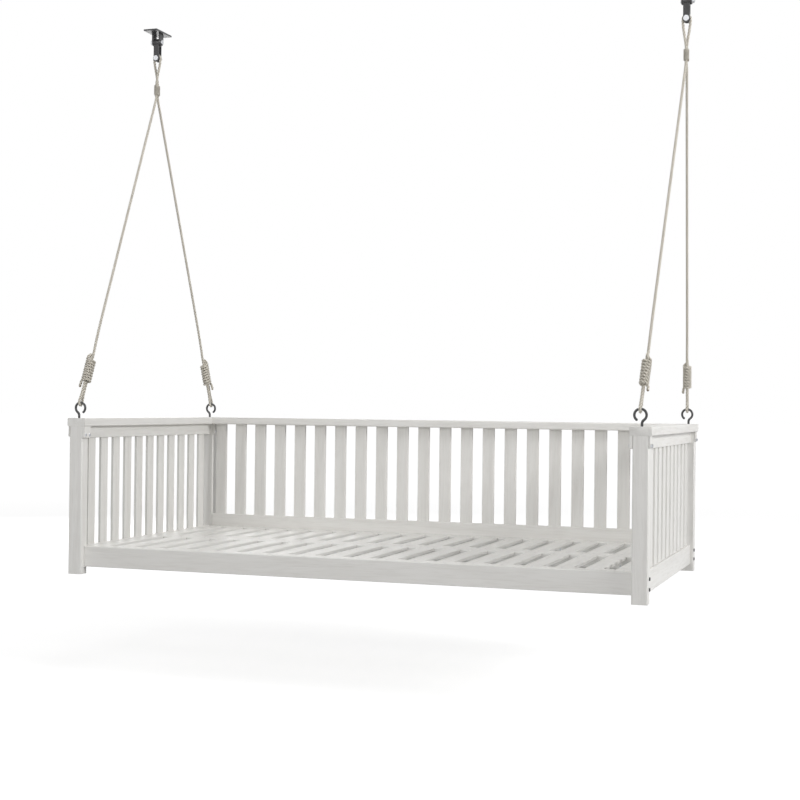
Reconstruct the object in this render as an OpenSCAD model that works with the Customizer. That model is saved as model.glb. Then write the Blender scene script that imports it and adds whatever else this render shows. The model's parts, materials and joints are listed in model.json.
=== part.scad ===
/* [Bed frame] */
// Width over the two side cap rails
overall_w = 2009; // [1600:1:2400]
// Depth from the front of the posts to the back of the rear rail
overall_d = 1049; // [900:1:1300]
// Height from the foot of the posts to the top of the cap rails
overall_h = 536; // [450:1:700]

/* [Hanging] */
// Height of the ceiling above the foot of the posts
hang_h = 2015; // [1990:1:2060]
// Distance from the middle of the bed to each hanging point, along the width
pivot_x = 1007.5; // [980:0.5:1030]
// How far the hanging points lie behind the middle of the bed, over its balance point
pivot_back = 92; // [80:1:125]

/* [Posts] */
// Post size along the bed's width
post_w = 50; // [44:1:60]
// Post size along the bed's depth
post_d = 40; // [36:1:50]
// Rounding of the edges of posts
post_round = 4; // [2:0.5:8]

/* [Cap rails] */
// Width of the cap rails
cap_w = 68; // [62:1:80]
// Thickness of the cap rails
cap_t = 28; // [24:1:36]
// How far a side cap stands out past the posts
cap_overhang = 8.5; // [6:0.5:12]
// Rounding of the edges of cap rails
cap_round = 4; // [2:0.5:8]

/* [Rails] */
// Height of the underside of the rails above the foot of the posts
rail_lift = 25; // [15:1:40]
// Height of the front rail and the side bottom rails
rail_h = 70; // [60:1:90]
// Thickness of the front rail
front_rail_t = 20; // [18:1:26]
// How far the front rail is set back from the front of the posts
front_setback = 20; // [6:1:20]
// Thickness of the back rail
back_rail_t = 20; // [18:1:26]
// Height of the back rail
back_rail_h = 119; // [90:1:160]
// Thickness of the side rails
side_rail_t = 25; // [20:1:30]
// Height of the side top rails, under the caps
top_rail_h = 41; // [30:1:60]
// Rounding of the edges of rails
rail_round = 2.5; // [1:0.5:4]

/* [Slats] */
// Number of slats in each side
side_slat_count = 11; // [8:1:12]
// Width of a side slat
side_slat_w = 46; // [35:1:50]
// Thickness of a side slat
side_slat_t = 10; // [8:1:14]
// Gap between a post and the nearest side slat
side_slat_margin = 38.5; // [30:0.5:45]
// Number of slats in the back
back_slat_count = 22; // [14:1:26]
// Width of a back slat
back_slat_w = 46; // [35:1:60]
// Thickness of a back slat
back_slat_t = 12; // [8:1:14]
// Gap between a post and the nearest back slat
back_slat_margin = 12.6; // [6:0.1:40]
// Number of deck slats in each of the two rows
deck_slat_count = 20; // [12:1:22]
// Width of a deck slat
deck_slat_w = 57; // [45:1:70]
// Thickness of a deck slat
deck_slat_t = 10; // [8:1:14]
// Gap between a post and the nearest deck slat
deck_slat_margin = 4; // [2:0.5:20]
// Rounding of the long edges of slats
slat_round = 2; // [1:0.5:3]
// Depth of the pockets that hold the ends of upright slats
pocket_deep = 12; // [8:1:16]

/* [Deck rails] */
// Thickness of the centre rail
centre_rail_t = 20; // [18:1:30]
// Width of the notched ledgers that carry the deck slats
ledger_w = 40; // [34:1:46]
// Height of the ledgers
ledger_h = 40; // [30:1:50]

/* [Hooks] */
// Thickness of a hook's rod
hook_d = 8; // [6:0.5:9]
// Radius of a hook's ring, at the middle of the rod
hook_r = 18.5; // [17:0.5:22]
// Height of the middle of a hook's ring above the cap
hook_rise = 35; // [32:0.5:40]
// How far the ring's middle lies inwards of the hook's shank
hook_offset = 5; // [3:0.5:8]
// Distance of a hook from the front or the back of the bed
hook_inset = 20; // [17:0.5:22]

/* [Ceiling fittings] */
// Length of a ceiling plate, along the bed's depth
plate_l = 120; // [110:1:150]
// Width of a ceiling plate
plate_w = 56; // [50:1:70]
// Thickness of a ceiling plate
plate_t = 6; // [4:0.5:8]
// Distance between the two screw holes of a ceiling plate
screw_pitch = 84; // [80:1:90]
// Diameter of the ceiling screw holes
screw_hole_d = 8; // [6:0.5:10]

/* [Rope] */
// Diameter of the rope
rope_d = 10; // [9.5:0.1:10]
// Number of turns in each knot
knot_turns = 8; // [5:1:9]
// Diameter of the twine round the two legs of a rope
twine_d = 4; // [3:0.1:4]
// Number of turns of twine
twine_turns = 8; // [4:1:9]

/* [Hidden] */
$fn = 48;
overrun = 1;
full_turn = 360;
quarter_turn = 90;
per_radian = full_turn / (2 * PI);

// Colours
paint = "#f2f0ea";
bare_wood = "#d9b98a";
dark_steel = "#4a4c50";
bright_steel = "#b9bcc0";
rope_tone = "#e8e2d4";

// Places in the bed's own frame: middle of the bed, at the foot of the posts
half_w = overall_w / 2;
half_d = overall_d / 2;
post_h = overall_h - cap_t;
post_out_x = half_w - cap_overhang;
post_in_x = post_out_x - post_w;
post_mid_x = (post_out_x + post_in_x) / 2;
post_in_y = half_d - post_d;
cap_in_x = half_w - cap_w;
cap_in_y = half_d - cap_w;
side_in_x = post_mid_x - side_rail_t / 2;
rail_top = rail_lift + rail_h;
top_rail_low = post_h - top_rail_h;
front_rail_y = -half_d + front_setback;
front_rail_in_y = front_rail_y + front_rail_t;
front_rail_mid_y = front_rail_y + front_rail_t / 2;
back_rail_y = post_in_y;
back_rail_mid_y = back_rail_y + back_rail_t / 2;
back_rail_top = rail_lift + back_rail_h;
hook_y = half_d - hook_inset;
ring_x = post_mid_x - hook_offset;
ring_z = overall_h + hook_rise;

// Clearances
slat_fit = 0.3;
hole_fit = 0.1;
wood_fit = 0.2;
end_gap = 1;

// Hook: foot bend, tip and the bore of its shank
hook_foot_r = 14;
hook_tip_angle = 230;
hook_bore_fit = 0.25;
hook_swell = 0.4;
hook_overlap = 0.5;
hook_end_rise = 2;
hook_bore_deep = 64;

// Head of each post: a block inside it and a plate outside it, held by two bolts
head_bolt_d = 6;
head_bolt_drop = 30;
head_bolt_z = post_h - head_bolt_drop;
head_bolt_spread = 25;
head_bolt_head_d = 12;
head_bolt_head_t = 2;
head_bolt_tail = 1;
head_nut_t = 3;
head_nut_d = 11;
head_block_h = 40;
head_plate_t = 4;
head_plate_h = 36;
head_out_x = post_out_x + head_plate_t;
function head_bolt_ys(end) = [for (side = [-1, 1]) end * hook_y + side * head_bolt_spread / 2];

// Bolts that join the front and back rails to the posts
bolt_d = 6;
bolt_head_d = 11;
bolt_head_t = 3.5;
bolt_socket_d = 5;
bolt_socket_deep = 2.5;
bolt_low_lift = 19;
bolt_spread = 32;
bolt_zs = [rail_lift + bolt_low_lift, rail_lift + bolt_low_lift + bolt_spread];
barrel_d = 10;
barrel_inset = 35;
barrel_side_gap = 1.5;
barrel_x = post_in_x - barrel_inset;
bolt_tip_past = 2;

// Wooden dowels
dowel_d = 8;
dowel_l = 24;
dowel_low_lift = 8;
dowel_high_lift = 35;
dowel_zs = [rail_lift + dowel_low_lift, rail_lift + dowel_high_lift];
cap_dowel_share = 0.62;
cap_end_dowel_inset = 13;

// Screws of the deck and the ledgers
screw_d = 4;
screw_head_d = 8;
screw_head_h = 2.6;
deck_screw_l = 28;
ledger_screw_l = 47;
ledger_screw_count = 6;
ledger_screw_drop = 33;
ledger_screw_end_share = 0.9;
ledger_screw_shift = 24;

// Ceiling fitting
ear_t = 6;
pin_drop = 38;
pin_d = 12;
pin_fit = 0.05;
pin_seat_fit = 0.1;
barrel_l = 22;
barrel_side_fit = 0.5;
link_eye_d = 26;
ear_d = 28;
link_l = 62;
cheek_t = 5;
cheek_w = 26;
bridge_t = 7;
rope_pin_d = 14;
rope_side_gap = 1.5;
pin_head_t = 4;
pin_head_over = 6;
nut_h = 8;
nut_d = 21;
nut_sides = 6;
pin_tail = 2;
hanger_z = -pin_drop;
rope_pin_z = hanger_z - link_l;
cheek_in = rope_d / 2 + rope_side_gap;
ear_in = barrel_l / 2 + barrel_side_fit;

// Rope: sizes and the frame of each leg
rope_r = rope_d / 2;
rope_sides = 8;
wound_sides = 6;
strand_half = 5.3;
leg_half = 5.2;
wrap_gap = 0.6;
knot_rings = 15;
knot_pitch_gap = 0.6;
knot_low = 83;
knot_end_rings = 6;
twine_rings = 13;
twine_gap = 0.5;
twine_pitch_gap = 0.6;
twine_low = -142;
working_end = 172;

// Route of the rope over its pin, from the fork of the front leg to the fork of the
// rear leg: x, y and z from the middle of the pin
fork = [-0.6, -12, -168];
rise_route = [
    fork, [-0.3, -8, -159], [0, -5.7, -150], [0, -5.2, -140], [0, -5.2, -120], [0, -5.2, -100],
    [-2.4, -4.9, -80], [-5.6, -4, -60], [-9, -2.4, -40], [-11.8, -0.8, -20], [-12.6, 0, 0],
    [-10.9, 0, 6.3], [-6.3, 0, 10.9], [0, 0, 12.6]
];
// Route of a leg down to its hook and round the hook's rod: across the leg and up the
// leg, from the top of the hook's ring, where across is towards the other leg
drop_route = [
    [0, 1150], [0, 950], [0, 750], [0, 550], [0, 380], [0.6, 290], [2.8, 230], [5.3, 195],
    [5.3, 170], [5.3, 140], [5.3, 110], [5.3, 80], [5.3, 50], [5.7, 30], [8, 14], [9.6, 0],
    [8.3, -4.8], [4.8, -8.3], [0, -9.6], [-4.8, -8.3], [-8.3, -4.8], [-9.6, 0],
    [-8, 14], [-5.7, 30], [-5.3, 50], [-5.3, 80], [-5.3, 110], [-5.3, 140], [-5.3, 172]
];

function unit(v) = v / norm(v);
function flat(v, t) = unit(v - (v * t) * t);
function turned(p) = [-p[0], -p[1], p[2]];

// Middle of the rope pin and of the top of a hook's ring, on the right side
pin_mid = [pivot_x, 0, rope_pin_z];
function ring_top(end) = [ring_x, end * hook_y - pivot_back, ring_z + hook_r - hang_h];

// Frame of a leg: along runs up the leg, across lies towards the other leg
function fork_at(end) = pin_mid + (end < 0 ? fork : turned(fork));
function along(end) = unit(fork_at(end) - ring_top(end));
function across(end) = flat([0, -end, 0], along(end));
function beside(end) = cross(across(end), along(end));
function on_leg(end, p) = ring_top(end) + p[0] * across(end) + p[1] * along(end)
    + (len(p) > 2 ? p[2] : 0) * beside(end);

function reversed(list) = [for (i = [len(list) - 1:-1:0]) list[i]];
function leg_points(end) = [for (p = drop_route) on_leg(end, p)];
function eye_points() = concat(
    [for (p = rise_route) pin_mid + p],
    [for (i = [len(rise_route) - 2:-1:0]) pin_mid + turned(rise_route[i])]
);
function rope_points() = concat(reversed(leg_points(-1)), eye_points(), leg_points(1));

// A tube through a list of points, its ends square to the first and last stretch
steep_share = 0.8;
function tangent_at(p, i) = let (last = len(p) - 1)
    i == 0 ? unit(p[1] - p[0])
    : i == last ? unit(p[last] - p[last - 1])
    : unit(unit(p[i + 1] - p[i]) + unit(p[i] - p[i - 1]));
function tube_points(p, r, sides) =
    let (t = [for (i = [0:len(p) - 1]) tangent_at(p, i)])
    let (seed = abs(t[0][0]) < steep_share ? [1, 0, 0] : [0, 1, 0])
    let (n = [for (i = 0, v = flat(seed, t[0]); i < len(p);
        i = i + 1, v = i < len(p) ? flat(v, t[i]) : v) v])
    [for (i = [0:len(p) - 1], k = [0:sides - 1])
        p[i] + r * cos(k * full_turn / sides) * n[i]
            + r * sin(k * full_turn / sides) * cross(t[i], n[i])];
function tube_faces(count, sides) = concat(
    [for (i = [0:count - 2], k = [0:sides - 1]) let (j = (k + 1) % sides)
        [i * sides + k, i * sides + j, (i + 1) * sides + k]],
    [for (i = [0:count - 2], k = [0:sides - 1]) let (j = (k + 1) % sides)
        [i * sides + j, (i + 1) * sides + j, (i + 1) * sides + k]],
    [for (k = [1:sides - 2]) [0, k + 1, k]],
    [for (k = [1:sides - 2]) let (first = (count - 1) * sides) [first, first + k, first + k + 1]]
);
module tube(p, d, sides) {
    polyhedron(
        points = tube_points(p, d / 2, sides),
        faces = [for (f = tube_faces(len(p), sides)) reversed(f)],
        convexity = 10
    );
}

// Points of a wrap round two strands that lie side by side: the way round is two half
// circles joined by straights, and share runs from 0 to 1 once round it
function wrap_length(half, r) = full_turn / quarter_turn * half + 2 * PI * r;
function wrap_at(half, r, share) =
    let (s = (share - floor(share)) * wrap_length(half, r))
    let (straight = 2 * half, bend = PI * r)
    let (low = half + bend, left = low + straight, back = left + bend)
    s < half ? [s, r]
    : s < low ? let (a = quarter_turn - (s - half) / r * per_radian) [half + r * cos(a), r * sin(a)]
    : s < left ? [half - (s - low), -r]
    : s < back ? let (a = -quarter_turn - (s - left) / r * per_radian) [-half + r * cos(a), r * sin(a)]
    : [-half + (s - back), r];

// A smooth stretch from one place and direction to another
function bend_points(a, da, b, db, count) = [for (i = [1:count]) let (s = i / (count + 1))
    pow(1 - s, 3) * a + 3 * pow(1 - s, 2) * s * (a + da) + 3 * (1 - s) * pow(s, 2) * (b - db)
        + pow(s, 3) * b];

// Knot: the working end turns over at the top and winds down round both strands
knot_wrap_r = rope_r + wrap_gap + rope_r;
knot_pitch = rope_d + knot_pitch_gap;
knot_start_share = 0.86;
knot_high = knot_low + knot_turns * knot_pitch;
function knot_turn_point(s) = let (w = wrap_at(strand_half, knot_wrap_r, knot_start_share + s))
    [w[0], knot_high - s * knot_pitch, w[1]];
knot_turn_points = [for (i = [0:knot_turns * knot_rings]) knot_turn_point(i / knot_rings)];
knot_top = [[-strand_half, working_end, 0], [-strand_half, working_end + rope_d, 0]];
knot_lead = unit(knot_turn_points[1] - knot_turn_points[0]);
knot_out = let (last = len(knot_turn_points) - 1)
    unit(knot_turn_points[last] - knot_turn_points[last - 1]);
knot_tail_drop = 14;
knot_lead_share = 1.5;
knot_tail_rings = 3;
knot_tail = let (p = knot_turn_points[len(knot_turn_points) - 1])
    p + [knot_out[0] * rope_d, -knot_tail_drop, knot_out[2] * rope_d];
function knot_points() = concat(
    knot_top,
    bend_points(knot_top[1], [0, rope_d, 0],
        knot_turn_points[0], knot_lead * rope_d * knot_lead_share, knot_end_rings),
    knot_turn_points,
    bend_points(knot_turn_points[len(knot_turn_points) - 1], knot_out * rope_r,
        knot_tail, [0, -rope_r, 0], knot_tail_rings),
    [knot_tail, knot_tail - [0, rope_d, 0]]
);

// Twine: wound round the two legs where they come together under the pin
twine_wrap_r = rope_r + twine_gap + twine_d / 2;
twine_pitch = twine_d + twine_pitch_gap;
function twine_point(s) = let (w = wrap_at(leg_half, twine_wrap_r, s))
    [w[1], w[0], twine_low + s * twine_pitch];
twine_turn_points = [for (i = [0:twine_turns * twine_rings]) twine_point(i / twine_rings)];
function twine_points() = concat(
    [twine_turn_points[0] - unit(twine_turn_points[1] - twine_turn_points[0]) * twine_d],
    twine_turn_points,
    [let (last = len(twine_turn_points) - 1) twine_turn_points[last]
        + unit(twine_turn_points[last] - twine_turn_points[last - 1]) * twine_d]
);

// Least gap of a wound tube to itself, between places at least half a turn apart
function own_gap(p, d, rings) = min([for (i = [0:len(p) - 1 - rings / 2])
    min([for (j = [i + round(rings / 2):len(p) - 1]) norm(p[i] - p[j])])]) - d;
echo(least_gap_of_knot = own_gap(knot_points(), rope_d, knot_rings));
echo(least_gap_of_twine = own_gap(twine_points(), twine_d, twine_rings));

module in_bed() {
    translate([0, -pivot_back, -hang_h]) children();
}

// A part drawn on the right side, or its mirror image on the left
module on_side(side) {
    if (side > 0) children();
    else mirror([1, 0, 0]) children();
}

module both_sides() {
    on_side(1) children();
    on_side(-1) children();
}

// A bar with round long edges: its section lies in a and b, and it runs l along z
module round_bar(a, b, l, r) {
    linear_extrude(l) {
        translate([r, 0]) square([a - 2 * r, b]);
        translate([0, r]) square([a, b - 2 * r]);
        for (x = [r, a - r], y = [r, b - r]) translate([x, y]) circle(r);
    }
}

// The same bar laid along x or along y, from its lowest corner
module bar_x(l, d, h, r) {
    rotate([quarter_turn, 0, quarter_turn]) round_bar(d, h, l, r);
}

module bar_y(w, l, h, r) {
    translate([0, l, 0]) rotate([quarter_turn, 0, 0]) round_bar(w, h, l, r);
}

module rod_x(l, d) {
    rotate([0, quarter_turn, 0]) cylinder(h = l, d = d);
}

module rod_y(l, d) {
    rotate([-quarter_turn, 0, 0]) cylinder(h = l, d = d);
}

// First edges of a row of slats between two faces
function slat_edges(from, to, margin, w, count) =
    [for (i = [0:count - 1]) from + margin + i * (to - from - 2 * margin - w) / (count - 1)];
side_slat_edges = slat_edges(-post_in_y, post_in_y, side_slat_margin, side_slat_w, side_slat_count);
back_slat_edges = slat_edges(-post_in_x, post_in_x, back_slat_margin, back_slat_w, back_slat_count);
deck_slat_edges = slat_edges(-post_in_x, post_in_x, deck_slat_margin, deck_slat_w, deck_slat_count);

// Pockets for the ends of the upright slats, from the height z up
module side_slat_pockets(z) {
    for (y = side_slat_edges) translate([post_mid_x - side_slat_t / 2 - slat_fit, y - slat_fit, z])
        cube([side_slat_t + 2 * slat_fit, side_slat_w + 2 * slat_fit, pocket_deep + overrun]);
}

module back_slat_pockets(z) {
    for (x = back_slat_edges)
        translate([x - slat_fit, back_rail_mid_y - back_slat_t / 2 - slat_fit, z])
            cube([back_slat_w + 2 * slat_fit, back_slat_t + 2 * slat_fit, pocket_deep + overrun]);
}

module post(end) {
    bolt_y = end < 0 ? front_rail_mid_y : back_rail_mid_y;
    in_bed() color(paint) difference() {
        translate([post_in_x, end < 0 ? -half_d : post_in_y, 0])
            round_bar(post_w, post_d, post_h, post_round);
        for (z = bolt_zs) translate([post_in_x - overrun, bolt_y, z])
            rod_x(post_w + 2 * overrun, bolt_d + 2 * hole_fit);
        for (y = head_bolt_ys(end)) translate([post_in_x - overrun, y, head_bolt_z])
            rod_x(post_w + 2 * overrun, head_bolt_d + 2 * hole_fit);
        translate([post_mid_x, end * hook_y, post_h - hook_bore_deep])
            cylinder(h = hook_bore_deep + overrun, d = hook_d + 2 * hook_bore_fit);
        for (z = concat(dowel_zs, [post_h - top_rail_h / 2]))
            translate([post_mid_x, end * post_in_y - dowel_l / 2, z])
                rod_y(dowel_l, dowel_d + 2 * hole_fit);
    }
}

module side_cap_rail() {
    in_bed() color(paint) difference() {
        translate([cap_in_x, -half_d, post_h]) bar_y(cap_w, overall_d, cap_t, cap_round);
        for (y = [-hook_y, hook_y]) translate([post_mid_x, y, post_h - overrun])
            cylinder(h = cap_t + 2 * overrun, d = hook_d + 2 * hook_bore_fit);
        for (y = cap_dowel_ys) translate([post_mid_x, y, post_h - overrun])
            cylinder(h = dowel_l / 2 + overrun, d = dowel_d + 2 * hole_fit);
        for (y = cap_end_dowel_ys) translate([cap_in_x - overrun, y, post_h + cap_t / 2])
            rod_x(dowel_l / 2 + overrun, dowel_d + 2 * hole_fit);
    }
}

cap_dowel_ys = [-post_in_y * cap_dowel_share, 0, post_in_y * cap_dowel_share];
cap_end_dowel_ys = [cap_in_y + cap_end_dowel_inset, half_d - cap_end_dowel_inset];

module back_cap_rail() {
    in_bed() color(paint) difference() {
        translate([-cap_in_x, cap_in_y, post_h]) bar_x(2 * cap_in_x, cap_w, cap_t, cap_round);
        back_slat_pockets(post_h - overrun);
        both_sides() {
            for (y = cap_end_dowel_ys) translate([cap_in_x - dowel_l / 2, y, post_h + cap_t / 2])
                rod_x(dowel_l / 2 + overrun, dowel_d + 2 * hole_fit);
        }
    }
}

module side_top_rail() {
    in_bed() color(paint) difference() {
        translate([side_in_x, -post_in_y, top_rail_low])
            bar_y(side_rail_t, 2 * post_in_y, top_rail_h, rail_round);
        side_slat_pockets(top_rail_low - overrun);
        for (y = cap_dowel_ys) translate([post_mid_x, y, post_h - dowel_l / 2])
            cylinder(h = dowel_l / 2 + overrun, d = dowel_d + 2 * hole_fit);
        for (end = [-1, 1])
            translate([post_mid_x, end * post_in_y - dowel_l / 2, post_h - top_rail_h / 2])
                rod_y(dowel_l, dowel_d + 2 * hole_fit);
    }
}

module side_bottom_rail() {
    in_bed() color(paint) difference() {
        translate([side_in_x, -post_in_y, rail_lift]) bar_y(side_rail_t, 2 * post_in_y, rail_h, rail_round);
        side_slat_pockets(rail_top - pocket_deep);
        for (end = [-1, 1], z = dowel_zs) translate([post_mid_x, end * post_in_y - dowel_l / 2, z])
            rod_y(dowel_l, dowel_d + 2 * hole_fit);
        for (z = dowel_zs) translate([side_in_x - overrun, 0, z])
            rod_x(dowel_l / 2 + overrun, dowel_d + 2 * hole_fit);
    }
}

// A rail between two posts, bored at each end for its bolts and barrel nuts
module cross_rail(y, t, h) {
    difference() {
        translate([-post_in_x, y, rail_lift]) bar_x(2 * post_in_x, t, h, rail_round);
        both_sides() {
            for (z = bolt_zs) {
                translate([barrel_x - bolt_tip_past - barrel_d / 2, y + t / 2, z])
                    rod_x(barrel_inset + bolt_tip_past + barrel_d / 2 + overrun, bolt_d + 2 * hole_fit);
                translate([barrel_x, y + barrel_side_gap, z])
                    rod_y(t - 2 * barrel_side_gap, barrel_d + 2 * hole_fit);
            }
        }
    }
}

module front_rail() {
    in_bed() color(paint) difference() {
        cross_rail(front_rail_y, front_rail_t, rail_h);
        ledger_screw_holes(front_rail_in_y, -1, 0);
    }
}

module back_rail() {
    in_bed() color(paint) difference() {
        cross_rail(back_rail_y, back_rail_t, back_rail_h);
        back_slat_pockets(back_rail_top - pocket_deep);
        ledger_screw_holes(back_rail_y, 1, 0);
    }
}

module centre_rail() {
    in_bed() color(paint) difference() {
        translate([-side_in_x, -centre_rail_t / 2, rail_lift])
            bar_x(2 * side_in_x, centre_rail_t, rail_h, rail_round);
        both_sides() {
            for (z = dowel_zs) translate([side_in_x - dowel_l / 2, 0, z])
                rod_x(dowel_l / 2 + overrun, dowel_d + 2 * hole_fit);
        }
        ledger_screw_holes(-centre_rail_t / 2, 1, -ledger_screw_shift);
        ledger_screw_holes(centre_rail_t / 2, -1, ledger_screw_shift);
    }
}

module side_slats() {
    slat_low = rail_top - pocket_deep;
    in_bed() color(paint) for (y = side_slat_edges)
        translate([post_mid_x - side_slat_t / 2, y, slat_low])
            round_bar(side_slat_t, side_slat_w, top_rail_low + pocket_deep - slat_low, slat_round);
}

module back_slats() {
    slat_low = back_rail_top - pocket_deep;
    in_bed() color(paint) for (x = back_slat_edges)
        translate([x, back_rail_mid_y - back_slat_t / 2, slat_low])
            round_bar(back_slat_w, back_slat_t, post_h + pocket_deep - slat_low, slat_round);
}

// Where the two rows of deck slats begin and end
front_row = [front_rail_in_y + end_gap, -centre_rail_t / 2 - end_gap];
rear_row = [centre_rail_t / 2 + end_gap, back_rail_y - end_gap];
function deck_screw_ys(row) = [row[0] + ledger_w / 2, row[1] - ledger_w / 2];

module deck_row(row) {
    in_bed() color(paint) difference() {
        for (x = deck_slat_edges) translate([x, row[0], rail_top - deck_slat_t])
            bar_y(deck_slat_w, row[1] - row[0], deck_slat_t, slat_round);
        for (x = deck_slat_edges, y = deck_screw_ys(row))
            translate([x + deck_slat_w / 2, y, rail_top]) screw_space();
    }
}

module ledger(y) {
    in_bed() color(paint) difference() {
        translate([-post_in_x + end_gap, y, rail_top - ledger_h])
            bar_x(2 * post_in_x - 2 * end_gap, ledger_w, ledger_h, rail_round);
        for (x = deck_slat_edges)
            translate([x - slat_fit, y - overrun, rail_top - deck_slat_t])
                cube([deck_slat_w + 2 * slat_fit, ledger_w + 2 * overrun, deck_slat_t + overrun]);
        children();
    }
}

// A countersunk screw, its head at the origin and its tip down
module screw_shape(l, fit) {
    translate([0, 0, -l - fit]) cylinder(h = l + fit, d = screw_d + 2 * fit);
    translate([0, 0, -screw_head_h])
        cylinder(h = screw_head_h, d1 = screw_d + 2 * fit, d2 = screw_head_d + 2 * fit);
}

module screw_space() {
    screw_shape(deck_screw_l, hole_fit);
    cylinder(h = overrun, d = screw_head_d + 2 * hole_fit);
}

ledger_screw_z = rail_top - ledger_screw_drop;
function ledger_screw_xs(shift) = [for (i = [0:ledger_screw_count - 1])
    post_in_x * ledger_screw_end_share * (2 * i / (ledger_screw_count - 1) - 1) + shift];

// Screws through a ledger that lies against the face at y, on its out side
module ledger_screw_row(face, out, shift, fit) {
    for (x = ledger_screw_xs(shift)) translate([x, face - out * ledger_w, ledger_screw_z])
        rotate([out * quarter_turn, 0, 0]) {
            screw_shape(ledger_screw_l, fit);
            if (fit > 0) cylinder(h = overrun, d = screw_head_d + 2 * fit);
        }
}

module ledger_screw_holes(face, out, shift) {
    ledger_screw_row(face, out, shift, hole_fit);
}

module deck_holes(ys) {
    for (x = deck_slat_edges, y = ys) translate([x + deck_slat_w / 2, y, rail_top]) screw_space();
}

module front_ledger() {
    ledger(front_rail_in_y) {
        deck_holes([deck_screw_ys(front_row)[0]]);
        ledger_screw_holes(front_rail_in_y, -1, 0);
    }
}

module centre_front_ledger() {
    ledger(-centre_rail_t / 2 - ledger_w) {
        deck_holes([deck_screw_ys(front_row)[1]]);
        ledger_screw_holes(-centre_rail_t / 2, 1, -ledger_screw_shift);
    }
}

module centre_rear_ledger() {
    ledger(centre_rail_t / 2) {
        deck_holes([deck_screw_ys(rear_row)[0]]);
        ledger_screw_holes(centre_rail_t / 2, -1, ledger_screw_shift);
    }
}

module rear_ledger() {
    ledger(back_rail_y - ledger_w) {
        deck_holes([deck_screw_ys(rear_row)[1]]);
        ledger_screw_holes(back_rail_y, 1, 0);
    }
}

module deck_screws() {
    in_bed() color(bright_steel)
        for (row = [front_row, rear_row], x = deck_slat_edges, y = deck_screw_ys(row))
            translate([x + deck_slat_w / 2, y, rail_top]) screw_shape(deck_screw_l, 0);
}

module ledger_screws() {
    in_bed() color(bright_steel) {
        ledger_screw_row(front_rail_in_y, -1, 0, 0);
        ledger_screw_row(-centre_rail_t / 2, 1, -ledger_screw_shift, 0);
        ledger_screw_row(centre_rail_t / 2, -1, ledger_screw_shift, 0);
        ledger_screw_row(back_rail_y, 1, 0, 0);
    }
}

module frame_bolts() {
    bolt_l = post_w + barrel_inset + barrel_d / 2 + bolt_tip_past;
    in_bed() color(dark_steel) both_sides()
        for (y = [front_rail_mid_y, back_rail_mid_y], z = bolt_zs) translate([post_out_x, y, z]) {
            translate([-bolt_l, 0, 0]) rod_x(bolt_l, bolt_d);
            difference() {
                rod_x(bolt_head_t, bolt_head_d);
                translate([bolt_head_t - bolt_socket_deep, 0, 0]) rotate([0, quarter_turn, 0])
                    cylinder(h = bolt_socket_deep + overrun, d = bolt_socket_d, $fn = nut_sides);
            }
        }
}

module barrel_nuts() {
    rails = [[front_rail_y, front_rail_t], [back_rail_y, back_rail_t]];
    in_bed() color(bright_steel) both_sides() for (rail = rails, z = bolt_zs) difference() {
        translate([barrel_x, rail[0] + barrel_side_gap, z])
            rod_y(rail[1] - 2 * barrel_side_gap, barrel_d);
        translate([barrel_x - barrel_d, rail[0] + rail[1] / 2, z])
            rod_x(2 * barrel_d, bolt_d + 2 * hole_fit);
    }
}

module panel_dowels() {
    in_bed() color(bare_wood) both_sides() {
        for (end = [-1, 1], z = concat(dowel_zs, [post_h - top_rail_h / 2]))
            translate([post_mid_x, end * post_in_y - dowel_l / 2 + wood_fit, z])
                rod_y(dowel_l - 2 * wood_fit, dowel_d);
        for (z = dowel_zs) translate([side_in_x - dowel_l / 2 + wood_fit, 0, z])
            rod_x(dowel_l - 2 * wood_fit, dowel_d);
    }
}

module cap_dowels() {
    in_bed() color(bare_wood) both_sides() {
        for (y = cap_dowel_ys) translate([post_mid_x, y, post_h - dowel_l / 2 + wood_fit])
            cylinder(h = dowel_l - 2 * wood_fit, d = dowel_d);
        for (y = cap_end_dowel_ys) translate([cap_in_x - dowel_l / 2 + wood_fit, y, post_h + cap_t / 2])
            rod_x(dowel_l - 2 * wood_fit, dowel_d);
    }
}

module post_head_blocks() {
    in_bed() color(paint) both_sides() for (end = [-1, 1]) difference() {
        translate([cap_in_x, end < 0 ? -half_d : post_in_y, post_h - head_block_h])
            cube([post_in_x - cap_in_x, post_d, head_block_h]);
        for (y = head_bolt_ys(end)) translate([cap_in_x - overrun, y, head_bolt_z])
            rod_x(post_in_x - cap_in_x + 2 * overrun, head_bolt_d + 2 * hole_fit);
    }
}

module post_head_plates() {
    in_bed() color(paint) both_sides() for (end = [-1, 1]) difference() {
        translate([post_out_x, end < 0 ? -half_d : post_in_y, post_h - head_plate_h])
            cube([head_plate_t, post_d, head_plate_h]);
        for (y = head_bolt_ys(end)) translate([post_out_x - overrun, y, head_bolt_z])
            rod_x(head_plate_t + 2 * overrun, head_bolt_d + 2 * hole_fit);
    }
}

module post_head_bolts() {
    shank_l = head_out_x - cap_in_x + head_nut_t + head_bolt_tail;
    in_bed() color(bright_steel) both_sides() for (end = [-1, 1], y = head_bolt_ys(end)) {
        translate([cap_in_x - head_bolt_head_t, y, head_bolt_z]) rod_x(head_bolt_head_t, head_bolt_head_d);
        translate([cap_in_x, y, head_bolt_z]) rod_x(shank_l, head_bolt_d);
    }
}

module post_head_nuts() {
    in_bed() color(bright_steel) both_sides() for (end = [-1, 1], y = head_bolt_ys(end))
        translate([head_out_x, y, head_bolt_z]) difference() {
            rotate([0, quarter_turn, 0]) cylinder(h = head_nut_t, d = head_nut_d, $fn = nut_sides);
            translate([-overrun, 0, 0]) rod_x(head_nut_t + 2 * overrun, head_bolt_d + 2 * hole_fit);
        }
}

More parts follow.
